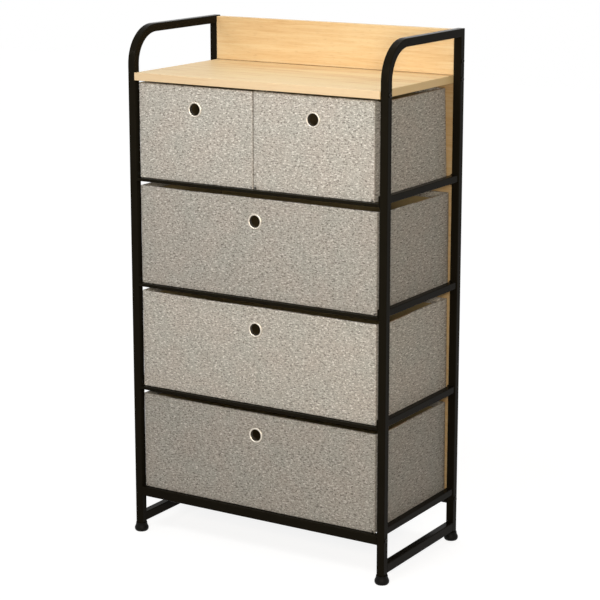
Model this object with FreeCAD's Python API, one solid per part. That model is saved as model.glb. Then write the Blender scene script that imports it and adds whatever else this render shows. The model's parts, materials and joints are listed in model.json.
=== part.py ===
# Fabric drawer dresser: two welded side frames of square steel tube, whose front posts bend
# back over the top as handle bars, joined by crossbars that carry five fabric drawers.
# Millimetres. +Z is up and -Y is the front. The origin is on the floor, midway between the feet.
import FreeCAD, Part
import math
import os

from FreeCAD import Vector

# steel frame
frame_width = 580.0        # over the outer faces of the side frames
frame_depth = 300.0        # over the front and rear faces of the posts
frame_height = 1030.0      # floor to the top of the handle bars
tube = 16.0                # side of the square tube
rail_tube = 14.0           # side of the smaller square tube of the side rails
tube_wall = 1.2
tube_corner = 1.8          # outer rounding of the tube's edges
handle_radius = 75.0       # outer radius of the bend from post to handle bar
stretcher_bottom = 20.0    # underside of the lower side stretchers
low_tube_height = 18.5     # upright size of the stretchers and bottom crossbars, as wide as the posts

# tiers: a tier's level is the top of the crossbars that its drawers rest on
tier_names = ("bottom", "lower", "middle", "upper")
bottom_level = 96.0
upper_tier_shortfall = 20.0  # the upper tier has this much less room than the others
rail_rise = 0.5            # underside of the side rails above the tier's level

# flat crossbars of the upper three tiers, with a plate welded to each end
slat_height = 6.0
slat_wall = 1.2
slat_corner = 1.2
end_plate_thickness = 2.0
end_plate_rise = 15.0      # plate above the tier's level

# boards
board_thickness = 15.0
board_drop = 90.0          # top of the top board below the top of the handle bars
board_overhang = 1.5       # top board in front of the posts
backboard_thickness = 15.0
backboard_drop = 2.0       # top of the backboard below the top of the handle bars
board_edge = 0.8           # rounding of the boards' edges
panel_thickness = 3.0
panel_overlap = 12.0       # how far the thin back panel laps over each rear post
panel_bottom_lap = 15.0    # how far it hangs over the bottom crossbar

# feet
foot_height = 17.0
foot_radius = 14.2
foot_base_radius = 11.6
foot_neck_radius = 11.4
foot_bulge_height = 5.5    # height of the widest ring
foot_socket = 6.0          # depth of the pocket that takes the end of the post
foot_plug = 16.0           # height of the plug inside the post
foot_fit = 0.1             # gap between the foot and the tube, on each side

# fasteners
bolt_diameter = 6.0
bolt_head_diameter = 9.0
bolt_head_height = 2.0
bolt_length = 30.0
end_nut_length = 20.0
hex_socket = 4.0           # across flats, in the bolt heads
hex_socket_depth = 1.2
slat_screw_diameter = 4.0
slat_screw_head = 8.0
slat_screw_length = 12.0
slat_screw_rise = 8.0      # screw above the tier's level
panel_screw_diameter = 3.0
panel_screw_head = 6.5
panel_screw_head_height = 1.5
panel_screw_length = 12.0
panel_screw_inset = 35.0   # outer screws in from the inner faces of the posts
panel_screw_columns = 3
hole_clearance = 0.2       # added to the radius of a hole that a bolt only passes through
backboard_bolt_rise = 28.0 # above the top board

# drawers
drawer_side_gap = 2.6      # drawers to the inner face of the left side rails
drawer_recess = 10.0       # drawer fronts behind the front faces of the posts
drawer_rear_bearing = 12.0  # how far the drawers reach over the rear crossbars
drawer_head_gap = 11.5     # wide drawer to the flat crossbar above
small_drawer_head_gap = 5.0
small_drawer_split = 2.0   # between the two small drawers
wide_drawer_spare = 7.0    # extra gap at the right side of the wide drawers
small_drawer_spare = 13.5  # the same for the two small drawers
wide_rear_lean = 3.0       # the wide drawers' backs lean forward by this much at the rim
small_rear_lean = 12.0
cover_thickness = 1.2
lining_thickness = 0.8
stiff_board = 2.5
front_board = 3.5
side_board_drop = 4.0      # tops of the side and back boards below the front board's top
eyelet_drop = 44.0         # eyelet's centre below the rim
eyelet_outer = 31.0
eyelet_hole = 23.0
eyelet_wall = 1.0
eyelet_crown = 1.8         # height of the domed front ring
eyelet_washer = 1.0        # flat ring on the inside

# positions that follow from the sizes above
outer_x = frame_width / 2
inner_x = outer_x - tube
post_x = outer_x - tube / 2
post_y = frame_depth / 2 - tube / 2
front_y = -frame_depth / 2
rear_y = frame_depth / 2
board_top = frame_height - board_drop
board_underside = board_top - board_thickness
board_middle = board_top - board_thickness / 2
tier_pitch = (board_underside + upper_tier_shortfall - bottom_level) / len(tier_names)
tier_level = [bottom_level + tier_pitch * i for i in range(len(tier_names))]
post_bottom = foot_height - foot_socket
crossbar_middle = bottom_level - low_tube_height / 2
sides = (("left", -1), ("right", 1))
ends = (("front", -1), ("rear", 1))

os.makedirs("parts", exist_ok=True)


def save(name, shape):
    shape.exportStep(f"parts/{name}.step")


def box(x0, x1, y0, y1, z0, z1):
    return Part.makeBox(x1 - x0, y1 - y0, z1 - z0, Vector(x0, y0, z0))


def rod(radius, length, x, y, z, direction):
    """A round bar that starts at x, y, z and runs along the direction."""
    return Part.makeCylinder(radius, length, Vector(x, y, z), Vector(*direction))


def rounded_face(width, depth, corner):
    """A face in the XY plane, centred on the origin, with rounded corners."""
    w, d = width / 2, depth / 2
    s = corner * (1 - math.sqrt(0.5))
    corners = ((1, 1), (-1, 1), (-1, -1), (1, -1))
    edges = []
    for i, (sx, sy) in enumerate(corners):
        along_y = Vector(sx * w, sy * (d - corner), 0)
        along_x = Vector(sx * (w - corner), sy * d, 0)
        middle = Vector(sx * (w - s), sy * (d - s), 0)
        start, end = (along_y, along_x) if sx == sy else (along_x, along_y)
        edges.append(Part.Arc(start, middle, end).toShape())
        nx, ny = corners[(i + 1) % 4]
        if nx == ny:
            following = Vector(nx * w, ny * (d - corner), 0)
        else:
            following = Vector(nx * (w - corner), ny * d, 0)
        edges.append(Part.LineSegment(end, following).toShape())
    return Part.Face(Part.Wire(edges))


def section(width, height, inner):
    """The outer or inner outline of a tube, as a face."""
    if inner:
        return rounded_face(width - 2 * tube_wall, height - 2 * tube_wall, tube_corner - tube_wall)
    return rounded_face(width, height, tube_corner)


def upright(face, x, y, z0, z1):
    placed = face.copy()
    placed.translate(Vector(x, y, z0))
    return placed.extrude(Vector(0, 0, z1 - z0))


def along_x(face, x0, x1, y, z):
    placed = face.copy()
    placed.rotate(Vector(0, 0, 0), Vector(0, 1, 0), 90)
    placed.translate(Vector(x0, y, z))
    return placed.extrude(Vector(x1 - x0, 0, 0))


def along_y(face, x, y0, y1, z):
    placed = face.copy()
    placed.rotate(Vector(0, 0, 0), Vector(1, 0, 0), -90)
    placed.translate(Vector(x, y0, z))
    return placed.extrude(Vector(0, y1 - y0, 0))


def hollow(make, width=tube, height=tube):
    """The tube that make(face) gives for the outer outline, less the one for the inner."""
    return make(section(width, height, False)).cut(make(section(width, height, True)))


def mitre_block(side_x, above):
    """A block on one side of the 45 degree plane where the handle bar meets the rear post."""
    corner_y, corner_z = rear_y, frame_height
    reach = 2 * tube
    low = Vector(side_x - tube, corner_y - reach, corner_z - reach)
    high = Vector(side_x - tube, corner_y + reach, corner_z + reach)
    third = Vector(low.x, low.y, high.z) if above else Vector(low.x, high.y, low.z)
    outline = Part.makePolygon([low, high, third, low])
    return Part.Face(outline).extrude(Vector(2 * tube, 0, 0))


def bolt_holes(heights, x, y):
    """Through holes along X for the bolts that enter from the outer face of a post."""
    radius = bolt_diameter / 2 + hole_clearance
    return [rod(radius, 2 * tube, x - tube, y, z, (1, 0, 0)) for z in heights]


def slat_screw_holes(side, x, y):
    """Holes in the inner wall of a post for the screws of the flat crossbars."""
    radius = slat_screw_diameter / 2
    return [
        rod(radius, tube / 2, x, y, level + slat_screw_rise, (-side, 0, 0))
        for level in tier_level[1:]
    ]


def front_post(side):
    x = side * post_x
    bend_y = front_y + handle_radius
    bend_z = frame_height - handle_radius

    def path(face):
        lower = upright(face, x, -post_y, post_bottom, bend_z)
        start = face.copy()
        start.translate(Vector(x, -post_y, bend_z))
        bend = start.revolve(Vector(x, bend_y, bend_z), Vector(-1, 0, 0), 90)
        bar = along_y(face, x, bend_y, rear_y, frame_height - tube / 2)
        return lower.fuse([bend, bar]).removeSplitter()

    post = hollow(path).cut(mitre_block(x, False))
    holes = bolt_holes((crossbar_middle, board_middle), x, -post_y)
    return post.cut(holes + slat_screw_holes(side, x, -post_y))


def rear_post(side):
    x = side * post_x
    post = hollow(lambda face: upright(face, x, post_y, post_bottom, frame_height))
    post = post.cut(mitre_block(x, True))
    heights = (crossbar_middle, board_middle, board_top + backboard_bolt_rise)
    return post.cut(bolt_holes(heights, x, post_y) + slat_screw_holes(side, x, post_y))


def side_bar(side, width, height, bottom):
    """A bar between the two posts of a side frame, flush with their inner faces."""
    x = side * (inner_x + width / 2)
    z = bottom + height / 2
    return hollow(
        lambda face: along_y(face, x, front_y + tube, rear_y - tube, z), width, height
    )


def panel_screw_places():
    """The x and z of each screw that holds the thin back panel."""
    reach = inner_x - panel_screw_inset
    step = 2 * reach / (panel_screw_columns - 1)
    rows = [crossbar_middle, board_middle]
    rows += [level - slat_height / 2 for level in tier_level[1:]]
    return [(-reach + step * i, z) for z in rows for i in range(panel_screw_columns)]


def panel_screw_holes(from_y):
    radius = panel_screw_diameter / 2
    length = rear_y + panel_thickness - from_y
    return [rod(radius, length, x, from_y, z, (0, 1, 0)) for x, z in panel_screw_places()]


def tube_crossbar(end):
    y = end * post_y
    bar = hollow(
        lambda face: along_x(face, -inner_x, inner_x, y, crossbar_middle), low_tube_height, tube
    )
    return bar.cut(panel_screw_holes(post_y)) if end > 0 else bar


def flat_crossbar(end, level):
    y = end * post_y
    z = level - slat_height / 2
    reach = inner_x - end_plate_thickness
    outer = rounded_face(slat_height, tube, slat_corner)
    inner = Part.makePlane(slat_height - 2 * slat_wall, tube - 2 * slat_wall)
    inner.translate(Vector(slat_wall - slat_height / 2, slat_wall - tube / 2, 0))
    bar = along_x(outer, -reach, reach, y, z).cut(along_x(inner, -reach, reach, y, z))
    return bar.cut(panel_screw_holes(post_y)) if end > 0 else bar


def countersink(side, y, z):
    """The screw head's cone, from the free face of an end plate to the post."""
    return Part.makeCone(
        slat_screw_head / 2, slat_screw_diameter / 2, end_plate_thickness,
        Vector(side * (inner_x - end_plate_thickness), y, z), Vector(side, 0, 0),
    )


def end_plate(side, y, level):
    """The plate on the end of a flat crossbar, screwed to the inner face of a post."""
    x0, x1 = sorted((side * (inner_x - end_plate_thickness), side * inner_x))
    plate = box(x0, x1, y - tube / 2, y + tube / 2, level - slat_height, level + end_plate_rise)
    return plate.cut(countersink(side, y, level + slat_screw_rise))


def rounded_board(x0, x1, y0, y1, z0, z1):
    board = box(x0, x1, y0, y1, z0, z1)
    return board.makeFillet(board_edge, board.Edges)


def board_bolt_holes(z, y):
    """Pilot holes in the left and right ends of a board."""
    depth = bolt_length - tube
    return [
        rod(bolt_diameter / 2, depth, side * inner_x, y, z, (-side, 0, 0)) for _, side in sides
    ]


def top_board():
    y0 = front_y - board_overhang
    board = rounded_board(-inner_x, inner_x, y0, rear_y, board_underside, board_top)
    holes = board_bolt_holes(board_middle, -post_y) + board_bolt_holes(board_middle, post_y)
    screws = panel_screw_holes(rear_y + panel_thickness - panel_screw_length)
    return board.cut(holes + screws)


def backboard():
    y0 = rear_y - backboard_thickness
    top = frame_height - backboard_drop
    board = rounded_board(-inner_x, inner_x, y0, rear_y, board_top, top)
    return board.cut(board_bolt_holes(board_top + backboard_bolt_rise, post_y))


def back_panel():
    reach = inner_x + panel_overlap
    bottom = bottom_level - panel_bottom_lap
    panel = box(-reach, reach, rear_y, rear_y + panel_thickness, bottom, board_top)
    return panel.cut(panel_screw_holes(rear_y))


def foot(side, end):
    """A bell-shaped cap with a pocket for the end of the post and a plug inside the tube."""
    start = Vector(0, 0, 0)
    rim = Vector(foot_base_radius, 0, 0)
    bulge = Vector(foot_radius, 0, foot_bulge_height)
    neck = Vector(foot_neck_radius, 0, foot_height)
    top = Vector(0, 0, foot_height)
    rounding = Part.Arc(
        rim, Vector(foot_radius - 0.8, 0, foot_bulge_height * 0.4), bulge
    ).toShape()
    flare = Part.BezierCurve()
    flare.setPoles([
        bulge,
        Vector(foot_radius, 0, foot_height * 0.6),
        Vector(foot_neck_radius, 0, foot_height * 0.6),
        neck,
    ])
    outline = Part.Wire([
        Part.makeLine(start, rim), rounding, flare.toShape(),
        Part.makeLine(neck, top), Part.makeLine(top, start),
    ])
    bell = Part.Face(outline).revolve(Vector(0, 0, 0), Vector(0, 0, 1), 360)
    pocket_side = tube + 2 * foot_fit
    pocket = upright(
        rounded_face(pocket_side, pocket_side, tube_corner + foot_fit), 0, 0, post_bottom, foot_height
    )
    plug_side = tube - 2 * tube_wall - 2 * foot_fit
    plug = upright(
        rounded_face(plug_side, plug_side, tube_corner - tube_wall), 0, 0,
        post_bottom, post_bottom + foot_plug,
    )
    cap = bell.cut(pocket).fuse(plug).removeSplitter()
    cap.translate(Vector(side * post_x, end * post_y, 0))
    return cap


def frame_bolt(side, y, z):
    """A button-head bolt that enters from the outer face of a post."""
    head_x = side * outer_x
    head = rod(bolt_head_diameter / 2, bolt_head_height, head_x, y, z, (side, 0, 0))
    head = head.makeFillet(bolt_head_height * 0.6, [head.Edges[0]])
    flats = Part.makePolygon([
        Vector(head_x + side * bolt_head_height,
               y + hex_socket / math.sqrt(3) * math.cos(math.radians(60 * i)),
               z + hex_socket / math.sqrt(3) * math.sin(math.radians(60 * i)))
        for i in range(7)
    ])
    socket = Part.Face(flats).extrude(Vector(-side * hex_socket_depth, 0, 0))
    shank = rod(bolt_diameter / 2, bolt_length, head_x, y, z, (-side, 0, 0))
    return head.cut(socket).fuse(shank).removeSplitter()


def end_nut(side, end):
    """A threaded plug in the end of a bottom crossbar."""
    x0, x1 = sorted((side * inner_x, side * (inner_x - end_nut_length)))
    plug = along_x(section(low_tube_height, tube, True), x0, x1, end * post_y, crossbar_middle)
    return plug.cut(
        rod(bolt_diameter / 2, end_nut_length, side * inner_x, end * post_y, crossbar_middle, (-side, 0, 0))
    )


def slat_screw(side, y, z):
    shank = rod(slat_screw_diameter / 2, slat_screw_length, side * inner_x, y, z, (side, 0, 0))
    return countersink(side, y, z).fuse(shank).removeSplitter()


def panel_screw(x, z):
    face_y = rear_y + panel_thickness
    head = rod(panel_screw_head / 2, panel_screw_head_height, x, face_y, z, (0, 1, 0))
    shank = rod(panel_screw_diameter / 2, panel_screw_length, x, face_y, z, (0, -1, 0))
    return head.fuse(shank).removeSplitter()


class Drawer:
    """One fabric drawer, given by its left and right sides, level, height and rear lean."""

    def __init__(self, name, x0, x1, level, height, rear_lean):
        self.name = name
        self.x0 = x0
        self.x1 = x1
        self.level = level
        self.height = height
        self.rear_lean = rear_lean
        self.front = front_y + drawer_recess
        self.back = rear_y - tube + drawer_rear_bearing

    def back_at(self, z, inset):
        """Y of the leaning back wall at a height, moved in by a wall thickness."""
        lean = self.rear_lean * (z - self.level) / self.height
        slant = math.hypot(self.rear_lean, self.height) / self.height
        return self.back - lean - inset * slant

    def body(self, side_inset, front_inset, back_inset, low, high):
        """A solid of the drawer's side profile, with each wall moved in by its inset."""
        z0, z1 = self.level + low, self.level + high
        x0, x1 = self.x0 + side_inset, self.x1 - side_inset
        y0 = self.front + front_inset
        outline = Part.makePolygon([
            Vector(x0, y0, z0), Vector(x0, self.back_at(z0, back_inset), z0),
            Vector(x0, self.back_at(z1, back_inset), z1), Vector(x0, y0, z1), Vector(x0, y0, z0),
        ])
        return Part.Face(outline).extrude(Vector(x1 - x0, 0, 0))

    def eyelet_axis(self):
        return (self.x0 + self.x1) / 2, self.level + self.height - eyelet_drop

    def eyelet_cut(self, radius):
        x, z = self.eyelet_axis()
        return rod(radius, 4 * front_board, x, self.front - front_board, z, (0, 1, 0))

    def cover(self):
        """The outer fabric, turned in over the tops of the boards as a hem."""
        c = cover_thickness
        inner_side = c + stiff_board
        inner_front = c + front_board
        side_top = self.height - c - side_board_drop
        outside = self.body(0, 0, 0, 0, self.height)
        boards = self.body(c, c, c, c, side_top)
        mouth = self.body(inner_side, inner_front, inner_side, side_top, self.height)
        eyelet_seat = self.eyelet_cut(eyelet_hole / 2 + eyelet_wall)
        return outside.cut([boards, self.front_board(), mouth, eyelet_seat])

    def front_board(self):
        c = cover_thickness
        whole = self.body(c, c, c, c, self.height - c)
        behind = self.body(0, c + front_board, -tube, 0, self.height)
        return whole.cut([behind, self.eyelet_cut(eyelet_hole / 2 + eyelet_wall)])

    def box_boards(self):
        """The two side boards, the back board and the base board."""
        c = cover_thickness
        f = c + front_board
        s = c + stiff_board
        top = self.height - c - side_board_drop
        across = self.body(c, f, c, c, s)
        long_side = self.body(c, f, c, s, top)
        between = self.body(s, f - tube, -tube, 0, self.height)
        inner = self.body(s, f, s, 0, self.height)
        side_boards = long_side.cut(between)
        back_board = long_side.common(between).cut(inner)
        return Part.makeCompound(side_boards.Solids + back_board.Solids + across.Solids)

    def lining(self):
        s = cover_thickness + stiff_board
        f = cover_thickness + front_board
        t = lining_thickness
        outside = self.body(s, f, s, s, self.height - cover_thickness)
        hollow_space = self.body(s + t, f + t, s + t, s + t, self.height)
        return outside.cut([hollow_space, self.eyelet_cut(eyelet_hole / 2 + eyelet_wall)])

    def eyelet(self):
        """A rolled metal eyelet: a short sleeve, a domed ring in front and a flat one inside."""
        x, z = self.eyelet_axis()
        hole, rim = eyelet_hole / 2, eyelet_outer / 2
        length = cover_thickness + front_board + lining_thickness
        back = self.front + length
        edges = [Vector(x + hole, self.front, z), Vector(x + rim, self.front, z)]
        crown = Vector(x + (hole + rim) / 2, self.front - eyelet_crown, z)
        dome = Part.Wire([
            Part.Arc(edges[0], crown, edges[1]).toShape(), Part.makeLine(edges[1], edges[0]),
        ])
        ring = Part.Face(dome).revolve(Vector(x, 0, z), Vector(0, 1, 0), 360)
        sleeve = rod(hole + eyelet_wall, length, x, self.front, z, (0, 1, 0))
        washer = rod(rim, eyelet_washer, x, back, z, (0, 1, 0))
        bore = rod(hole, length + eyelet_washer, x, self.front, z, (0, 1, 0))
        return sleeve.fuse(washer).cut(bore).fuse(ring).removeSplitter()

    def save(self):
        save(f"{self.name}_fabric_cover", self.cover())
        save(f"{self.name}_front_board", self.front_board())
        save(f"{self.name}_box_boards", self.box_boards())
        save(f"{self.name}_lining", self.lining())
        save(f"{self.name}_eyelet", self.eyelet())


# side frames
for side_name, side in sides:
    save(f"{side_name}_front_post_and_handle", front_post(side))
    save(f"{side_name}_rear_post", rear_post(side))
    stretcher = side_bar(side, tube, low_tube_height, stretcher_bottom)
    save(f"{side_name}_lower_stretcher", stretcher)
    for tier_name, level in zip(tier_names, tier_level):
        rail = side_bar(side, rail_tube, rail_tube, level + rail_rise)
        save(f"{side_name}_{tier_name}_side_rail", rail)
    for end_name, end in ends:
        save(f"{side_name}_{end_name}_foot", foot(side, end))

# crossbars
for end_name, end in ends:
    save(f"{end_name}_bottom_crossbar", tube_crossbar(end))
    for tier_name, level in list(zip(tier_names, tier_level))[1:]:
        save(f"{end_name}_{tier_name}_crossbar", flat_crossbar(end, level))

# boards
save("top_board", top_board())
save("backboard", backboard())
save("back_panel", back_panel())

# end plates and fasteners
corners = [(side, end * post_y) for _, side in sides for _, end in ends]
slat_ends = [(side, y, level) for side, y in corners for level in tier_level[1:]]
save("flat_crossbar_end_plates", Part.makeCompound([end_plate(*place) for place in slat_ends]))
save("flat_crossbar_screws", Part.makeCompound([
    slat_screw(side, y, level + slat_screw_rise) for side, y, level in slat_ends
]))
bolt_places = [(side, y, z) for side, y in corners for z in (crossbar_middle, board_middle)]
bolt_places += [(side, post_y, board_top + backboard_bolt_rise) for _, side in sides]
save("frame_bolts", Part.makeCompound([frame_bolt(*place) for place in bolt_places]))
save("crossbar_end_nuts", Part.makeCompound([end_nut(s, e) for _, s in sides for _, e in ends]))
save("back_panel_screws", Part.makeCompound([panel_screw(x, z) for x, z in panel_screw_places()]))

# drawers
left_x = drawer_side_gap - inner_x
right_x = inner_x - drawer_side_gap
wide_end = right_x - wide_drawer_spare
wide_height = tier_pitch - slat_height - drawer_head_gap
for tier_name, level in zip(tier_names[:3], tier_level):
    Drawer(f"{tier_name}_drawer", left_x, wide_end, level, wide_height, wide_rear_lean).save()
upper_level = tier_level[3]
small_height = board_underside - small_drawer_head_gap - upper_level
small_end = right_x - small_drawer_spare
small_width = (small_end - left_x - small_drawer_split) / 2
for name, start in (("upper_left", left_x), ("upper_right", small_end - small_width)):
    end = start + small_width
    Drawer(f"{name}_drawer", start, end, upper_level, small_height, small_rear_lean).save()
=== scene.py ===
import json
import math

import bmesh
import bpy
from mathutils import Matrix, Vector, noise
from mathutils.bvhtree import BVHTree


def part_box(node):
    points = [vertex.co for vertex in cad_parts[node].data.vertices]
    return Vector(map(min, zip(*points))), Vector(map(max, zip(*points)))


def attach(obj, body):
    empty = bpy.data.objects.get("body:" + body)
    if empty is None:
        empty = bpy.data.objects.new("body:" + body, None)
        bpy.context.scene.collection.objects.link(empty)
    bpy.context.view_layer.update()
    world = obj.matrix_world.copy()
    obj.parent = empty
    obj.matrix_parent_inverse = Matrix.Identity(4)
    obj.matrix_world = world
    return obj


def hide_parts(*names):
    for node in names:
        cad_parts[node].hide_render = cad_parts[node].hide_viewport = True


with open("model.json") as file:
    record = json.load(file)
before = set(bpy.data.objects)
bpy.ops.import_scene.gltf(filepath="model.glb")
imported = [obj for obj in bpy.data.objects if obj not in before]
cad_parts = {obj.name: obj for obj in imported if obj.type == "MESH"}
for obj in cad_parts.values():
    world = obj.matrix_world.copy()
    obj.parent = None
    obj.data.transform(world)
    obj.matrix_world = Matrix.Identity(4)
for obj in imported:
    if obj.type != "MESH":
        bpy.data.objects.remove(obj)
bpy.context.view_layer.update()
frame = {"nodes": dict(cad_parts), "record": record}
nodes = frame["nodes"]
mm = 0.001               # lengths are in metres
tiny = 0.001 * mm        # places nearer than this are one
print("frame loaded:", len(nodes), "nodes")


class Wire:
    # an output of a node; sums and products of wires add their own Math nodes
    def __init__(self, tree, socket):
        self.tree = tree
        self.socket = socket

    def calc(self, operation, *values):
        node = self.tree.nodes.new("ShaderNodeMath")
        node.operation = operation
        for slot, value in zip(node.inputs, values):
            plug(self.tree, slot, value)
        return Wire(self.tree, node.outputs[0])

    def __add__(self, other):
        return self.calc("ADD", self, other)

    def __radd__(self, other):
        return self.calc("ADD", other, self)

    def __sub__(self, other):
        return self.calc("SUBTRACT", self, other)

    def __rsub__(self, other):
        return self.calc("SUBTRACT", other, self)

    def __mul__(self, other):
        return self.calc("MULTIPLY", self, other)

    def __rmul__(self, other):
        return self.calc("MULTIPLY", other, self)

    def __truediv__(self, other):
        return self.calc("DIVIDE", self, other)

    def __pow__(self, other):
        return self.calc("POWER", self, other)

    def __gt__(self, other):
        return self.calc("GREATER_THAN", self, other)

    def __neg__(self):
        return self.calc("MULTIPLY", self, -1)

    def __abs__(self):
        return self.calc("ABSOLUTE", self)

    def sine(self):
        return self.calc("SINE", self)

    def clamp(self, low=0.0, high=1.0):
        return self.calc("MINIMUM", self.calc("MAXIMUM", self, low), high)

    def out(self, name):
        # another output of the same node
        return Wire(self.tree, self.socket.node.outputs[name])


def plug(tree, slot, value):
    if isinstance(value, Wire):
        tree.links.new(value.socket, slot)
    elif isinstance(value, (tuple, list)) and slot.type == "RGBA" and len(value) == 3:
        slot.default_value = (*value, 1.0)
    else:
        slot.default_value = value


def setStops(ramp, stops):
    while len(ramp.elements) > 1:
        ramp.elements.remove(ramp.elements[-1])
    for index, (position, colour) in enumerate(stops):
        element = ramp.elements[0] if index == 0 else ramp.elements.new(position)
        element.position = position
        element.color = (*colour, 1.0)


class NodeMaker:
    # fills a cleared node tree; every node but Math comes from add()
    def __init__(self, tree):
        self.tree = tree
        tree.nodes.clear()

    def add(self, kind, settings=None, inputs=None, output=0):
        node = self.tree.nodes.new("ShaderNode" + kind)
        for name, value in (settings or {}).items():
            if name == "stops":
                setStops(node.color_ramp, value)
            else:
                setattr(node, name, value)
        for name, value in (inputs or {}).items():
            plug(self.tree, node.inputs[name], value)
        return Wire(self.tree, node.outputs[output]) if node.outputs else None

    def seen(self):
        # 1 where the camera looks, also by way of a mirror or a window, and 0 for other light
        path = self.add("LightPath")
        looked = path.out("Is Camera Ray") + path.out("Is Glossy Ray") + path.out("Is Transmission Ray")
        return looked.clamp()


class Finish(NodeMaker):
    # a material with one Principled shader
    def __init__(self, name, shader=None):
        self.material = bpy.data.materials.new(name)
        self.material.use_nodes = True
        super().__init__(self.material.node_tree)
        surface = self.add("BsdfPrincipled")
        self.shader = surface.socket.node
        self.add("OutputMaterial", inputs={"Surface": surface})
        self.set(shader or {})

    def set(self, shader):
        for name, value in shader.items():
            plug(self.tree, self.shader.inputs[name], value)

    def place(self, stretch=(1, 1, 1), shift=(0, 0, 0)):
        # the piece's own coordinates, stretched and moved
        inputs = {"Vector": self.add("TexCoord", output="Object"), "Location": shift, "Scale": stretch}
        return self.add("Mapping", {"vector_type": "POINT"}, inputs)

    def axes(self):
        parts = self.add("SeparateXYZ", inputs={"Vector": self.add("TexCoord", output="Object")})
        return [parts.out(axis) for axis in "XYZ"]

    def speckle(self, scale, detail=2.0, rough=0.5, distort=0.0, where=None):
        inputs = {"Scale": scale, "Detail": detail, "Roughness": rough, "Distortion": distort}
        inputs["Vector"] = where or self.place()
        return self.add("TexNoise", {"noise_dimensions": "3D"}, inputs)

    def strokes(self, flat, turn, stretch):
        # short threads that all run one way over the cloth
        inputs = {"Vector": flat, "Rotation": (0, 0, turn), "Scale": stretch}
        return self.speckle(1, 2, 0.55, 0.0, self.add("Mapping", {"vector_type": "POINT"}, inputs))

    def blend(self, factor, first, second, mode="MIX"):
        # the sockets go by number, because their names repeat for each kind of value
        settings = {"data_type": "RGBA", "blend_type": mode, "clamp_factor": True}
        return self.add("Mix", settings, {0: factor, 6: first, 7: second}, output=2)

    def shade(self, colour, tone):
        return self.blend(1.0, colour, (tone, tone, tone), "MULTIPLY")

    def bump(self, height, strength, depth):
        normal = self.add("Bump", inputs={"Height": height, "Strength": strength, "Distance": depth})
        self.set({"Normal": normal})


def makeSteel():
    look = dict(
        base=(0.0082, 0.0070, 0.0044), light=(0.0128, 0.0108, 0.0070), rough=0.16,
        shine=0.022, shineTint=(1.0, 0.84, 0.62),
    )
    shine = {"Specular IOR Level": look["shine"], "Specular Tint": look["shineTint"]}
    finish = Finish("blackPowderCoat", {"IOR": 1.45, **shine})
    cloud = finish.speckle(35, 3)
    grain = finish.speckle(1400, 2, 0.6)
    finish.set({
        "Base Color": finish.blend(cloud * 0.8 + grain * 0.2, look["base"], look["light"]),
        "Roughness": look["rough"] + 0.04 * cloud + 0.03 * grain,
    })
    finish.bump(grain, 0.03, 0.2 * mm)
    return finish.material


def makeOak(name, tone, seed=0.0, contrast=1.0, taped=None):
    look = dict(
        pale=(0.890, 0.682, 0.385), mid=(0.825, 0.582, 0.296), deep=(0.715, 0.450, 0.205),
        pore=(0.50, 0.28, 0.11), rough=0.42,
        middle=0.47,           # the grain value that has the mid colour
        spread=0.11,           # from there to the pale and the deep one, at a contrast of 1
        tape=0.2 * mm,         # edging glued on along the front and at both ends
        frontTape=(0.85, 0.650, 0.43), frontShare=0.6,
        # the end edging, drawn lighter than its own colour as painted light on the board's ends
        endTapePaintedLight=(1.0, 0.74, 0.37),
    )
    finish = Finish(name, {"IOR": 1.45})
    shift = (seed, 0.37 * seed, 0.61 * seed)
    bands = finish.speckle(1, 4, 0.55, 0.8, finish.place((1.6, 30, 30), shift))
    streaks = finish.speckle(1, 3, 0.6, 0.35, finish.place((9, 150, 150), shift))
    fibres = finish.speckle(1, 4, 0.65, 0.2, finish.place((16, 420, 420), shift))
    pores = finish.speckle(1, 2, 0.5, 0.0, finish.place((60, 900, 900), shift))
    drift = finish.speckle(1, 1, 0.5, 0.0, finish.place((2.2, 5, 5), shift))
    grain = (bands * 0.36 + streaks * 0.30 + fibres * 0.24 + drift * 0.10).clamp()
    middle, half = look["middle"], look["spread"] / contrast
    stops = [(middle - half, look["deep"]), (middle, look["mid"]), (middle + half, look["pale"])]
    poreMask = ((pores - 0.58) * 6).clamp() * 0.42
    wood = finish.blend(poreMask, finish.add("ValToRGB", {"stops": stops}, {"Fac": grain}), look["pore"])
    if taped:
        low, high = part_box(taped)
        x, y, _ = finish.axes()
        wood = finish.blend((-y > -low.y - look["tape"]) * look["frontShare"], wood, look["frontTape"])
        # the board's ends: edging colour, lightened as painted light
        wood = finish.blend(abs(x) > high.x - look["tape"], wood, look["endTapePaintedLight"])
    finish.set({"Base Color": finish.shade(wood, tone), "Roughness": look["rough"] + 0.12 * fibres})
    finish.bump(fibres * 0.7 - poreMask, 0.12, 0.3 * mm)
    return finish.material


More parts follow.
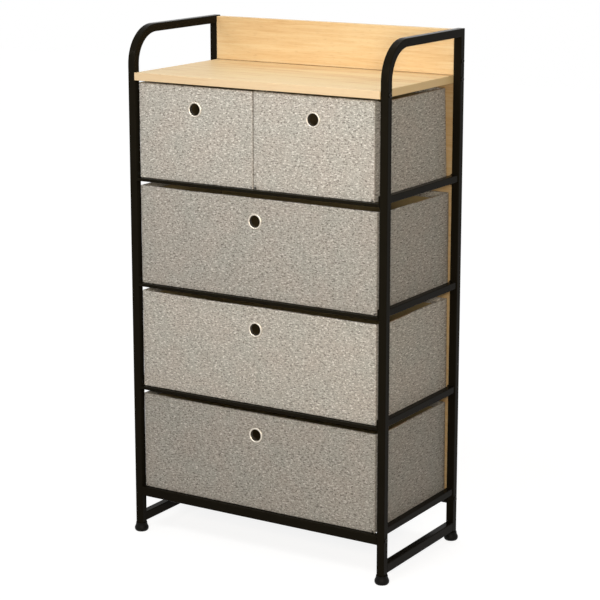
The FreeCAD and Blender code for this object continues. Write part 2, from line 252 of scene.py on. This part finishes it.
def makeHeather(name, tone=1.0):
    look = dict(
        cool=(0.474, 0.467, 0.428), warm=(0.497, 0.464, 0.421),
        dark=(0.195, 0.180, 0.160), light=(0.85, 0.835, 0.79), darkMost=0.90, lightMost=0.85,
        pitch=0.9 * mm,        # of the weave
        slant=0.62,            # angle of the slanting threads
        slanted=(160, 420, 1), straight=(120, 430, 1),
        depthRun=0.6,          # the fleck runs longer along the sides
    )
    finish = Finish(name, {"Roughness": 0.92, "IOR": 1.4, "Sheen Weight": 0.05, "Specular IOR Level": 0.2})
    x, y, z = finish.axes()
    flat = finish.add("CombineXYZ", inputs={"X": x + y * look["depthRun"], "Y": z})
    step = 2 * math.pi / look["pitch"]
    weave = ((x + y) * step).sine() * (z * step).sine()
    patches = finish.speckle(16, 2, 0.5)
    mottle = finish.speckle(420, 2, 0.55, 0.4, finish.place((1, look["depthRun"], 1)))
    rising = finish.strokes(flat, look["slant"], look["slanted"])
    falling = finish.strokes(flat, -look["slant"], look["slanted"])
    level = finish.strokes(flat, 0.0, look["straight"])
    darkMask = (0.50 - mottle) * 4.6 + (0.47 - falling) * 5.4 + (0.47 - level) * 3.2
    lightMask = (mottle - 0.51) * 4.2 + (rising - 0.53) * 5.4 + (level - 0.54) * 3.0
    yarn = finish.blend(((patches - 0.35) * 3.3).clamp(), look["cool"], look["warm"])
    yarn = finish.blend(darkMask.clamp(0, look["darkMost"]), yarn, look["dark"])
    yarn = finish.blend(lightMask.clamp(0, look["lightMost"]), yarn, look["light"])
    finish.set({"Base Color": finish.shade(yarn, tone)})
    finish.bump(mottle * 0.6 + weave * 0.15 + rising * 0.4 - falling * 0.4, 0.35, 0.7 * mm)
    return finish.material


def makeLiningCloth():
    look = dict(base=(0.42, 0.33, 0.17), dark=(0.31, 0.24, 0.115))
    finish = Finish("oliveLining", {"Roughness": 0.85, "Sheen Weight": 0.05})
    felt = finish.speckle(500, 3, 0.6)
    dimple = finish.add("TexVoronoi", {"feature": "F1"}, {"Vector": finish.place(), "Scale": 420.0})
    finish.set({"Base Color": finish.blend(felt, look["dark"], look["base"])})
    finish.bump(felt * 0.6 + dimple, 0.25, 0.4 * mm)
    return finish.material


def makeThread():
    look = dict(dark=(0.46, 0.43, 0.37), light=(0.70, 0.67, 0.60))
    finish = Finish("hemThread", {"Roughness": 0.6})
    twist = finish.speckle(1800, 1)
    finish.set({"Base Color": finish.blend(twist, look["dark"], look["light"])})
    finish.bump(twist, 0.3, 0.2 * mm)
    return finish.material


def makeHardboard():
    look = dict(dark=(0.20, 0.115, 0.055), light=(0.40, 0.26, 0.14), stain=(0.30, 0.19, 0.10))
    finish = Finish("rawHardboard", {"Roughness": 0.8})
    fleck = finish.speckle(900, 4, 0.7)
    cloud = finish.speckle(60, 2)
    brown = finish.blend(fleck, look["dark"], look["light"])
    finish.set({"Base Color": finish.blend(cloud * 0.3, brown, look["stain"])})
    finish.bump(fleck, 0.2, 0.3 * mm)
    return finish.material


def makeMetal(name, dark, light, rough):
    finish = Finish(name, {"Metallic": 1.0})
    cloud = finish.speckle(120, 3)
    scratch = finish.speckle(1, 2, 0.5, 0.0, finish.place((300, 300, 4000)))
    finish.set({"Base Color": finish.blend(cloud, dark, light), "Roughness": rough + 0.12 * scratch})
    finish.bump(scratch, 0.06, 0.1 * mm)
    return finish.material


def makeFootPlastic():
    look = dict(dark=(0.0035, 0.0032, 0.0026), light=(0.0075, 0.0070, 0.0058), rough=0.46)
    finish = Finish("blackMouldedPlastic", {"IOR": 1.46, "Specular IOR Level": 0.10})
    grain = finish.speckle(1800, 2)
    cloud = finish.speckle(90, 2)
    finish.set({
        "Base Color": finish.blend(cloud, look["dark"], look["light"]),
        "Roughness": look["rough"] + 0.12 * grain,
    })
    finish.bump(grain, 0.12, 0.2 * mm)
    return finish.material


# brown for the strip of painted shade in the joint under the backboard
def makeJointShade():
    look = dict(dark=(0.21, 0.112, 0.042), light=(0.30, 0.16, 0.06))
    finish = Finish("jointShadeBrown", {"Roughness": 0.7})
    finish.set({"Base Color": finish.blend(finish.speckle(700, 3), look["dark"], look["light"])})
    return finish.material


# one finish for each material slot
finishes = {
    "frame_steel": makeSteel(),
    "oak_board": makeOak("lightOak", 0.925, contrast=2.4, taped="top_board"),
    # the back panel's tone of 0.76 is painted shade: the oak is darkened to the shade it stands in behind the
    # drawers
    "oak_panel": makeOak("lightOakPanel", 0.76, 2.7),
    "drawer_fabric": makeHeather("heatherFabric"),
    "drawer_lining": makeLiningCloth(),
    "stiffener_board": makeHardboard(),
    "eyelet_metal": makeMetal("paleNickel", (0.56, 0.51, 0.43), (0.72, 0.67, 0.58), 0.36),
    "foot_plastic": makeFootPlastic(),
    "bolt_steel": makeMetal("blackenedSteel", (0.010, 0.009, 0.008), (0.035, 0.033, 0.030), 0.38),
    "screw_steel": makeMetal("zincPlate", (0.42, 0.40, 0.35), (0.62, 0.60, 0.54), 0.32),
    "end_nut_steel": makeMetal("zincNut", (0.45, 0.45, 0.44), (0.60, 0.60, 0.58), 0.34),
}
# a board cut from another sheet
ownFinishes = {"backboard": makeOak("lightOakBackboard", 0.93, 1.3)}
threadFinish = makeThread()

slotOf = {row["node"]: row["material_slot"] for row in frame["record"]["subparts"]}
for name, node in nodes.items():
    node.data.materials.clear()
    node.data.materials.append(ownFinishes.get(name) or finishes[slotOf[name]])
print("finishes on", len(nodes), "nodes")


def newPiece(name, bm, body, finish, smooth=True):
    mesh = makeMesh(bm, name, smooth)
    mesh.materials.append(finish)
    piece = addObject(name, mesh)
    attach(piece, body)
    return piece


def makeMesh(bm, name, smooth=True):
    mesh = bpy.data.meshes.new(name)
    bm.to_mesh(mesh)
    bm.free()
    if smooth:
        mesh.shade_smooth()
    return mesh


def addObject(name, data):
    thing = bpy.data.objects.new(name, data)
    bpy.context.scene.collection.objects.link(thing)
    return thing


def addWall(piece, thickness):
    wall = piece.modifiers.new("wall", "SOLIDIFY")
    wall.thickness = thickness
    wall.offset = -1


def settle(piece):
    # live modifiers become the piece's own mesh
    shown = piece.evaluated_get(bpy.context.evaluated_depsgraph_get())
    mesh = bpy.data.meshes.new_from_object(shown)
    piece.modifiers.clear()
    piece.data = mesh


def share(value):
    # held between 0 and 1
    return min(1, max(0, value))


def bow(value):
    # 0 at both ends of the run from 0 to 1, and 1 in its middle
    return math.sin(math.pi * value)


def wave(spot, size, seed):
    return noise.noise(Vector(spot) / size + Vector((seed, 2 * seed, 3 * seed)))


def steps(low, high, cell):
    count = max(2, round((high - low) / cell))
    return [low + (high - low) * i / count for i in range(1, count)]


def lowerSideEdges(bm, bottom):
    # edges that run front to back on the underside
    found = []
    for edge in bm.edges:
        run = edge.verts[1].co - edge.verts[0].co
        frontToBack = abs(run.y) > 0.9 * run.length
        if frontToBack and max(v.co.z for v in edge.verts) < bottom + tiny:
            found.append(edge)
    return found


def openBox(low, high, sizes, lean, cuts):
    # a box without a top: edges rounded, cut into cells, back wall leaning forward
    bm = bmesh.new()
    bmesh.ops.create_cube(bm, size=1)
    bmesh.ops.scale(bm, vec=high - low, verts=bm.verts)
    bmesh.ops.translate(bm, vec=(low + high) / 2, verts=bm.verts)
    lid = [f for f in bm.faces if f.normal.z > 0.5]
    bmesh.ops.delete(bm, geom=lid, context="FACES_ONLY")
    rounding = dict(affect="EDGES", offset_type="OFFSET", profile=0.5, material=-1)
    sides = lowerSideEdges(bm, low.z)
    bmesh.ops.bevel(bm, geom=sides, offset=sizes["lowerCorner"], segments=4, **rounding)
    sharpAngle = 1.2         # only the box's own square edges are this sharp
    sharp = [e for e in bm.edges if not e.is_boundary and e.calc_face_angle() > sharpAngle]
    bmesh.ops.bevel(bm, geom=sharp, offset=sizes["corner"], segments=3, **rounding)
    for axis, places in enumerate(cuts):
        across = Vector([axis == i for i in range(3)])
        for place in places:
            geom = bm.verts[:] + bm.edges[:] + bm.faces[:]
            bmesh.ops.bisect_plane(bm, geom=geom, dist=tiny, plane_co=across * place, plane_no=across)
    for vert in bm.verts:
        # the high power keeps the lean to the back wall and its corners
        back = (vert.co.y - low.y) / (high.y - low.y)
        vert.co.y -= lean * back ** 6 * (vert.co.z - low.z) / (high.z - low.z)
    bm.normal_update()
    return bm


# each drawer's cloth colour is scaled by its factor, darker for the middle and bottom drawers, lighter for
# the lower one
drawerTones = dict(upper_left=1.04, upper_right=1.04, middle=0.91, lower=1.12, bottom=0.88)
cloth = dict(
    cell=9 * mm,             # grid of the cloth
    outer=0.3 * mm,          # cloth inside the drawer's full width on each side
    rimRoom=0.9 * mm,        # rim below the drawer's full height, for the fold
    under=0.05 * mm,         # cloth above the drawer's lowest level at least, clear of the crossbars
    thickness=0.7 * mm,
    corner=1.6 * mm,         # rounding of the upright edges and the lower front and back ones
    lowerCorner=1.0 * mm,    # rounding of the lower side edges
    wideLean=3 * mm,         # back wall forward at the rim, in the wide drawers
    smallLean=12 * mm,
    frontWall=6.2 * mm,
    sideWall=5.2 * mm,
    frontBulge=1.0 * mm,
    sideBulge=0.3 * mm,
    ripple=0.35 * mm,
    rippleSpans=(55 * mm, 20 * mm),
    sideRipple=0.1 * mm,     # the most by which the sides ripple outwards
)
hem = dict(
    below=11.0 * mm,         # stitch line below the rim
    swell=0.35 * mm,         # doubled cloth above the line
    swellRun=1.5 * mm,
    groove=0.3 * mm,         # cloth drawn in along the line
    grooveRun=1.6 * mm,
    clear=10 * mm,           # the even grid ends this far below the line
    cuts=[offset * mm for offset in (-6, -2.4, -1.0, 0, 1.0, 2.4, 6, 8.6)],    # finer grid about the line
)
rim = dict(
    wave=0.9 * mm,
    waveSpan=130 * mm,
    waveBias=0.4,            # raises the wave, which is cut off at the plain height
    arch=0.4 * mm,           # middle of the front rim above its ends
    lift=2.2 * mm,           # rim higher towards the left end
    liftRun=150 * mm,
    drop=5.5 * mm,           # side and back rims below the front rim
    dropRun=20 * mm,         # length over which the rim comes down behind the front
    dropAcross=50 * mm,      # the left rim stays up, and the full drop is reached over this width
    fullSpan=500 * mm,       # narrower drawers keep a straighter rim
    fade=70 * mm,            # how far down the shape of the rim is felt
    fold=[                   # over the top of the boards and down inside: share of the wall, height
        (0.12, 0.6 * mm), (0.35, 0.9 * mm), (0.65, 0.9 * mm), (0.88, 0.6 * mm),
        (1.0, -0.6 * mm), (1.0, -6 * mm), (1.0, -12.6 * mm),
    ],
)
facing = 0.7                 # the cloth faces along an axis where its normal's part there is past this


def drawerBoxes(name):
    # corners of the drawer and the middle of its eyelet
    low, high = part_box(name + "_drawer_fabric_cover")
    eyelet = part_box(name + "_drawer_eyelet")
    return low, high, (eyelet[0] + eyelet[1]) / 2


def leanOf(name):
    return cloth["smallLean" if name.startswith("upper") else "wideLean"]


def rimShift(spot, low, high, index):
    # how far the rim and the hem line stand above or below their plain height at a place
    inward = max(0, spot.x - low.x)
    behind = share((spot.y - low.y - cloth["frontWall"]) / rim["dropRun"])
    arch = rim["arch"] * bow(share((spot.x - low.x) / (high.x - low.x))) * (1 - behind)
    sway = rim["wave"] * max(0, rim["waveBias"] + wave((spot.x, spot.y, 0), rim["waveSpan"], index + 3))
    lift = rim["lift"] * max(0, 1 - inward / rim["liftRun"]) ** 2
    drop = rim["drop"] * behind ** 2 * (3 - 2 * behind) * share(inward / rim["dropAcross"])
    return (arch + sway + lift) * min(1, (high.x - low.x) / rim["fullSpan"]) ** 2 - drop


def clothCuts(low, high, eye, hemLine):
    # an even grid, with finer lines along the hem and about the eyelet
    near = [i * hole["cell"] for i in range(-hole["cells"], hole["cells"] + 1)]
    levels = steps(low.z, hemLine - hem["clear"], cloth["cell"])
    levels += [hemLine + offset for offset in hem["cuts"]]
    return (
        steps(low.x, high.x, cloth["cell"]) + [eye.x + n for n in near],
        steps(low.y, high.y, cloth["cell"]),
        levels + [eye.z + n for n in near],
    )


def clothPush(vert, low, size, eye, index):
    # how far the cloth stands off the plain box at a place
    spot = vert.co
    broad, fine = cloth["rippleSpans"]
    push = cloth["ripple"] * (wave(spot, broad, index + 1) + 0.5 * wave(spot, fine, index + 7))
    along = bow(min(1, (spot.z - low.z) / size.z))
    if vert.normal.y < -facing:
        across = bow((spot.x - low.x) / size.x)
        away = math.hypot(spot.x - eye.x, spot.z - eye.z)
        push = (push + cloth["frontBulge"] * across * along) * share((away - hole["radius"]) / hole["calm"])
        push -= hole["pressDepth"] * max(0, 1 - abs(away - hole["pressed"]) / hole["pressWidth"])
    elif abs(vert.normal.x) > facing:
        across = bow((spot.y - low.y) / size.y)
        push = min(push, cloth["sideRipple"]) + cloth["sideBulge"] * across * along
    elif vert.normal.z < -facing:
        push = min(push, 0)
    return push


def hemPush(vert, above):
    # the hem stands out above its stitch line, and the line is drawn in
    push = -hem["groove"] * max(0, 1 - abs(above) / hem["grooveRun"])
    if above > 0 and abs(vert.normal.x) < facing:
        push += hem["swell"] * min(1, above / hem["swellRun"])
    return push


def turnRimIn(bm, low, high, lean):
    # cloth over the top of the boards and a little way down inside
    edges = [e for e in bm.edges if e.is_boundary]
    wallX, wallY = cloth["sideWall"] - cloth["outer"], cloth["frontWall"]
    backY = high.y - lean
    starts = {}
    for inward, rise in rim["fold"]:
        out = bmesh.ops.extrude_edge_only(bm, edges=edges)
        fresh = [v for v in out["geom"] if isinstance(v, bmesh.types.BMVert)]
        for vert in fresh:
            below = next(e.other_vert(vert) for e in vert.link_edges if e.other_vert(vert) not in fresh)
            start = starts.get(below, below.co.copy())
            starts[vert] = start
            x = min(max(start.x, low.x + wallX * inward), high.x - wallX * inward)
            y = min(max(start.y, low.y + wallY * inward), backY - wallX * inward)
            vert.co = (x, y, start.z + rise)
        edges = [e for e in out["geom"] if isinstance(e, bmesh.types.BMEdge) and e.is_boundary]


def makeFabric(name, index, tone):
    body = name + "_drawer"
    low, high, eye = drawerBoxes(name)
    low.x += cloth["outer"]
    high.x -= cloth["outer"]
    high.z -= cloth["rimRoom"]
    hemLine = high.z - hem["below"]
    bm = openBox(low, high, cloth, leanOf(name), clothCuts(low, high, eye, hemLine))
    moves = {}
    for vert in bm.verts:
        above = vert.co.z - hemLine
        push = clothPush(vert, low, high - low, eye, index) + hemPush(vert, above)
        moves[vert] = vert.normal * push
        moves[vert].z += rimShift(vert.co, low, high, index) * share(1 + above / rim["fade"]) ** 2
    for vert, move in moves.items():
        vert.co += move
        vert.co.z = max(vert.co.z, low.z + cloth["under"])
    turnRimIn(bm, low, high, leanOf(name))
    bm.normal_update()
    piece = newPiece(body + "_fabric", bm, body, makeHeather("heather_" + name, tone))
    addWall(piece, cloth["thickness"])
    cutEyeletHole(piece, eye)
    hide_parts(body + "_fabric_cover")
    return piece


lining = dict(
    frontWall=4.85 * mm, sideWall=3.85 * mm, backRoom=0.3 * mm, thickness=0.5 * mm,
    top=11 * mm,             # its rim below the drawer's full height
    corner=0.8 * mm, lowerCorner=1.6 * mm,
    ripple=0.35 * mm, rippleSpan=60 * mm, rippleBias=0.5,
    cell=22 * mm,
)


def makeLining(name, index):
    body = name + "_drawer"
    low, high, eye = drawerBoxes(name)
    low += Vector((lining["sideWall"], lining["frontWall"], lining["sideWall"]))
    high -= Vector((lining["sideWall"], lining["sideWall"] + lining["backRoom"], lining["top"]))
    cuts = [steps(low[i], high[i], lining["cell"]) for i in range(3)]
    bm = openBox(low, high, lining, leanOf(name), cuts)
    for vert in bm.verts:
        dip = lining["ripple"] * (lining["rippleBias"] + wave(vert.co, lining["rippleSpan"], index + 31))
        calm = share(((vert.co - eye).length - hole["radius"]) / hole["calm"])
        vert.co -= vert.normal * max(0, dip) * calm
    piece = newPiece(body + "_lining_cloth", bm, body, finishes["drawer_lining"])
    addWall(piece, lining["thickness"])
    cutEyeletHole(piece, eye)
    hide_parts(body + "_lining")


hole = dict(
    radius=12.6 * mm, depth=24 * mm, segments=48,
    calm=30 * mm,            # ripple and bulge come back over this much cloth about the hole
    cell=3 * mm, cells=7,    # finer grid about the hole, and its cells to each side
    pressed=17 * mm,         # radius of the ring where the eyelet's flange presses the cloth in
    pressWidth=4 * mm,
    pressDepth=0.7 * mm,
)


def cutEyeletHole(piece, eye):
    bm = bmesh.new()
    radius = hole["radius"]
    sizes = dict(radius1=radius, radius2=radius, depth=hole["depth"], segments=hole["segments"])
    bmesh.ops.create_cone(bm, cap_ends=True, **sizes)
    turn = Matrix.Rotation(math.pi / 2, 3, "X")
    bmesh.ops.rotate(bm, verts=bm.verts, cent=(0, 0, 0), matrix=turn)
    bmesh.ops.translate(bm, verts=bm.verts, vec=eye)
    punch = addObject("holePunch", makeMesh(bm, "holePunch", smooth=False))
    cut = piece.modifiers.new("hole", "BOOLEAN")
    cut.operation = "DIFFERENCE"
    cut.object = punch
    settle(piece)
    bpy.data.objects.remove(punch)


stitch = dict(
    pitch=4.2 * mm, length=3.0 * mm, width=0.7 * mm,
    rise=0.05 * mm,          # middle of a stitch above the cloth
    ends=10 * mm,            # length of a side that has no stitches, both ends together
    outside=50 * mm,         # each stitch is brought onto the cloth from this far outside
    reach=100 * mm,
)


def sewHem(name, fabric, index):
    # one small stitch at every pitch along the hem line, laid on the cloth
    body = name + "_drawer"
    low, high, _ = drawerBoxes(name)
    hemLine = high.z - cloth["rimRoom"] - hem["below"]
    # the cut hole leaves the faces in another order each run, so they are sorted first
    fabric.data.calc_loop_triangles()
    faces = sorted(tuple(face.vertices) for face in fabric.data.loop_triangles)
    tree = BVHTree.FromPolygons([vert.co for vert in fabric.data.vertices], faces, all_triangles=True)
    outline = ((low.x, low.y), (high.x, low.y), (high.x, high.y), (low.x, high.y))
    corners = [Vector((x, y, hemLine)) for x, y in outline]
    bm = bmesh.new()
    for start, end in zip(corners, corners[1:] + corners[:1]):
        run = (end - start).normalized()
        inward = Vector((-run.y, run.x, 0))
        length = (end - start).length
        count = int((length - stitch["ends"]) / stitch["pitch"])
        margin = (length - (count - 1) * stitch["pitch"]) / 2
        for i in range(count):
            along = start + run * (margin + i * stitch["pitch"])
            origin = along - inward * stitch["outside"]
            origin.z += rimShift(along, low, high, index)
            hit, normal, _, _ = tree.ray_cast(origin, inward, stitch["reach"])
            if hit:
                addStitch(bm, hit, run, normal)
    newPiece(body + "_hem_stitches", bm, body, threadFinish)


def addStitch(bm, place, run, normal):
    side = normal.cross(run).normalized()
    turn = Matrix((run, side, normal)).transposed().to_4x4()
    shape = Matrix.Diagonal((stitch["length"], stitch["width"], stitch["width"], 1))
    spot = Matrix.Translation(place + normal * stitch["rise"])
    bmesh.ops.create_icosphere(bm, subdivisions=1, radius=0.5, matrix=spot @ turn @ shape)


for index, (name, tone) in enumerate(drawerTones.items()):
    fabric = makeFabric(name, index, tone)
    makeLining(name, index)
    sewHem(name, fabric, index)
    print(name, "drawer dressed,", len(fabric.data.polygons), "faces of cloth")


# a strip of painted shade along the joint under the backboard
jointShadeLine = dict(height=1.0 * mm, depth=0.8 * mm, shorter=1 * mm)    # shorter than the backboard is wide


def makeJointShadeLine():
    # a thin brown strip of painted shade, in view where the backboard stands on the top board
    low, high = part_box("backboard")
    size = Vector((high.x - low.x - jointShadeLine["shorter"], jointShadeLine["depth"], jointShadeLine["height"]))
    middle = ((low.x + high.x) / 2, low.y, low.z + jointShadeLine["height"] / 2)
    bm = bmesh.new()
    bmesh.ops.create_cube(bm, size=1)
    bmesh.ops.scale(bm, vec=size, verts=bm.verts)
    bmesh.ops.translate(bm, vec=middle, verts=bm.verts)
    newPiece("backboard_joint_shade", bm, "frame", makeJointShade(), smooth=False)


# the shade in the joint under the backboard is painted on this strip
makeJointShadeLine()
print("core line laid at the foot of the backboard")


studio = dict(
    floorSize=14.0, floorTone=0.3,
    ambient=0.20,            # light of the world on the object
    glow=0.865, farGlow=0.945, nearSpan=0.7, farSpan=1.6,    # floor as it is seen, near and far
)
# power in watts
lamps = dict(
    key=dict(place=(0.15, -1.15, 1.55), aim=(0, 0, 0.82), size=(0.4, 0.4), power=7.7, colour=(1, 1, 1)),
    fill=dict(place=(1.50, -2.24, 1.22), aim=(0, 0, 0.64), size=(0.4, 0.4), power=31, colour=(1, 0.865, 0.7)),
    side=dict(
        place=(1.6, -0.5, 1.15), aim=(0.27, 0, 0.93), size=(0.3, 0.3), power=1.2, colour=(1, 0.84, 0.64),
    ),
    top=dict(place=(0, 0.38, 2.3), aim=(0, 0.1, 0.94), size=(0.8, 0.8), power=10.4, colour=(1, 0.99, 0.97)),
    strip=dict(place=(-1.08, -1.6, 1.75), aim=(0, 0, 0.95), size=(0.85, 0.1), power=4.5, colour=(1, 1, 1)),
)
view = dict(
    place=(1.99204, -3.19976, 1.38077), yaw=0.5543, pitch=0.2116, lens=117.172, sensor=36, farClip=50,
    renderWidth=600, lowered=40,     # pixels by which the frame of the render is shifted down
)


def makeWorld():
    world = bpy.data.worlds.new("studio")
    world.use_nodes = True
    bpy.context.scene.world = world
    sky = NodeMaker(world.node_tree)
    strength = studio["ambient"] + sky.seen() * (1 - studio["ambient"])
    back = sky.add("Background", inputs={"Color": (1, 1, 1), "Strength": strength})
    sky.add("OutputWorld", inputs={"Surface": back})


def makeFloor():
    bm = bmesh.new()
    bmesh.ops.create_grid(bm, x_segments=1, y_segments=1, size=studio["floorSize"] / 2)
    floor = addObject("floor", makeMesh(bm, "floor", smooth=False))
    tone, near = studio["floorTone"], studio["nearSpan"]
    finish = Finish("paleFloor", {"Roughness": 0.9, "Specular IOR Level": 0.0})
    x, y, _ = finish.axes()
    away = (((x * x + y * y) ** 0.5 - near) / (studio["farSpan"] - near)).clamp()
    glow = studio["glow"] + away * (studio["farGlow"] - studio["glow"])
    finish.set({"Base Color": (tone, tone, tone), "Emission Color": glow, "Emission Strength": finish.seen()})
    floor.data.materials.append(finish.material)


def makeLamp(name, place, aim, size, power, colour):
    data = bpy.data.lights.new(name, "AREA")
    data.shape = "ELLIPSE"
    data.size, data.size_y = size
    data.energy = power
    data.color = colour
    lamp = addObject(name, data)
    lamp.location = place
    lamp.rotation_euler = (Vector(aim) - Vector(place)).to_track_quat("-Z", "Y").to_euler()


def makeCamera():
    data = bpy.data.cameras.new("camera")
    data.sensor_width = view["sensor"]
    data.lens = view["lens"]
    data.shift_y = -view["lowered"] / view["renderWidth"]
    data.clip_end = view["farClip"]
    camera = addObject("camera", data)
    camera.location = view["place"]
    camera.rotation_euler = (math.pi / 2 - view["pitch"], 0, view["yaw"])
    bpy.context.scene.camera = camera


makeWorld()
makeFloor()
for name, lamp in lamps.items():
    makeLamp(name, **lamp)
makeCamera()
bpy.context.scene.view_settings.view_transform = "Standard"
print("floor, light and camera placed")
